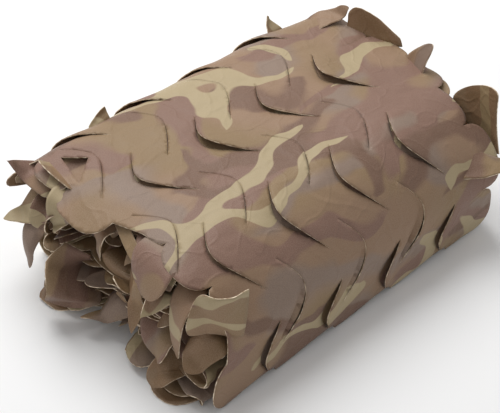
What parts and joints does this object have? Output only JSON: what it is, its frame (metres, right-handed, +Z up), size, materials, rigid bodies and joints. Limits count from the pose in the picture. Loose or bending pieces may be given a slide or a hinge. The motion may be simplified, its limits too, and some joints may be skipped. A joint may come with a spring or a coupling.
{
  "type": "folded camouflage netting",
  "caption": "Camouflage netting folded into a bundle, leaf-shaped cuts open on its wrapped outside, ragged leafy ends; it rests on its flat underside.",
  "frame": {"origin": "centre of the bounding box's underside, on the surface that the bundle rests on", "axes": "+X along the bundle's length, between its two ragged ends; -Y towards the smooth rounded long side that ends in the free hem; +Z up, through the layers"},
  "size_m": [0.4096, 0.2726, 0.1352],
  "materials": {
    "netting_cloth": "thin coated woven fabric, satin, in cream, mauve-brown and tan-brown camouflage"
  },
  "bodies": {
    "root": {"netting": "netting_cloth"}
  },
  "joints": []
}
